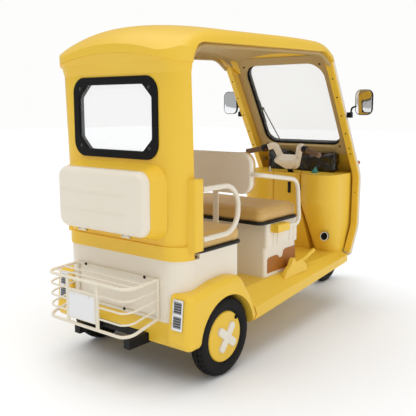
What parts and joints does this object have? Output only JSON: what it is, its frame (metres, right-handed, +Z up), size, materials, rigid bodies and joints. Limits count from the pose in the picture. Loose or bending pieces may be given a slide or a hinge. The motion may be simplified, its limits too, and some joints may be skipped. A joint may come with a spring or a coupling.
{
  "type": "electric passenger tricycle",
  "caption": "Electric passenger tricycle with a yellow roofed cab, cream lower body, bench seats, rear storage box and wire rack.",
  "frame": {"origin": "on the ground under the middle of the overall box", "axes": "+Y forward, +X to the vehicle's right, +Z up"},
  "size_m": [1.184, 2.67, 1.8001],
  "materials": {
    "yellow_shell": "moulded, semi-gloss yellow",
    "cream_shell": "moulded, semi-gloss cream",
    "black_plastic": "moulded black",
    "tyre_rubber": "tyre rubber",
    "frame_steel": "black painted steel",
    "white_tube": "powder-coated off-white tube",
    "seat_leather": "tan artificial leather",
    "liner_beige": "beige trim",
    "clear_glass": "clear",
    "lamp_lens": "lamp lenses",
    "chrome": "plated",
    "plate_white": "blank plate",
    "battery_case": "battery case",
    "wheel_cover": "moulded yellow wheel cover"
  },
  "bodies": {
    "root": {"chassis_frame": "frame_steel", "rear_axle": "frame_steel", "battery_pack": "battery_case", "floor_pan": "yellow_shell", "rear_body": "cream_shell", "rear_fenders": "yellow_shell", "tail_lamps": "lamp_lens", "rear_cab": "yellow_shell", "rear_window_frame": "black_plastic", "rear_window_glass": "clear_glass", "roof": "yellow_shell", "roof_liner": "liner_beige", "storage_box": "yellow_shell", "grab_rails": "white_tube", "rear_seat_back": "seat_leather", "front_seat_base": "cream_shell", "front_seat_back": "cream_shell", "front_seat_pad": "seat_leather", "front_armrests": "white_tube", "armrest_caps": "yellow_shell", "front_fascia": "cream_shell", "front_frame": "yellow_shell", "dash_panel": "yellow_shell", "windshield_seal": "black_plastic", "windshield_glass": "clear_glass", "windshield_liner": "liner_beige", "instrument_display": "black_plastic", "front_lamps": "lamp_lens", "mirrors": "black_plastic", "wiper": "black_plastic", "cargo_rack": "white_tube", "number_plate": "plate_white", "handbrake_lever": "yellow_shell", "brake_pedal": "black_plastic"},
    "storage_lid": {"storage_lid": "cream_shell"},
    "front_seat_lid": {"front_seat_cushion": "seat_leather"},
    "rear_seat_lid": {"rear_seat_cushion": "seat_leather"},
    "steering": {"steering_fork": "frame_steel", "handlebar_cover": "cream_shell", "handlebar_grips": "black_plastic", "front_mudguard": "yellow_shell"},
    "left_wheel": {"rear_tyre_left": "tyre_rubber", "rear_wheel_left": "wheel_cover"},
    "right_wheel": {"rear_tyre_right": "tyre_rubber", "rear_wheel_right": "wheel_cover"},
    "front_wheel": {"front_tyre": "tyre_rubber", "front_wheel": "wheel_cover"}
  },
  "joints": [
    {"name": "storage_lid_hinge", "type": "hinge", "parent": "root", "child": "storage_lid", "pos_m": [0, -1.196, 0.757], "axis": [1, 0, 0], "range_deg": [0, 90]},
    {"name": "front_seat_hinge", "type": "hinge", "parent": "root", "child": "front_seat_lid", "pos_m": [0, 0.1, 0.697], "axis": [-1, 0, 0], "range_deg": [0, 75]},
    {"name": "rear_seat_hinge", "type": "hinge", "parent": "root", "child": "rear_seat_lid", "pos_m": [0, -0.622, 0.661], "axis": [-1, 0, 0], "range_deg": [0, 75]},
    {"name": "steering_turn", "type": "hinge", "parent": "root", "child": "steering", "pos_m": [0, 0.591, 0.926], "axis": [0, -0.5446, 0.8387], "range_deg": [-40, 40]},
    {"name": "left_wheel_spin", "type": "hinge", "parent": "root", "child": "left_wheel", "pos_m": [-0.443, -0.815, 0.21], "axis": [1, 0, 0], "continuous": true},
    {"name": "right_wheel_spin", "type": "hinge", "parent": "root", "child": "right_wheel", "pos_m": [0.443, -0.815, 0.21], "axis": [1, 0, 0], "continuous": true},
    {"name": "front_wheel_spin", "type": "hinge", "parent": "steering", "child": "front_wheel", "pos_m": [0, 1.125, 0.21], "axis": [1, 0, 0], "continuous": true}
  ]
}
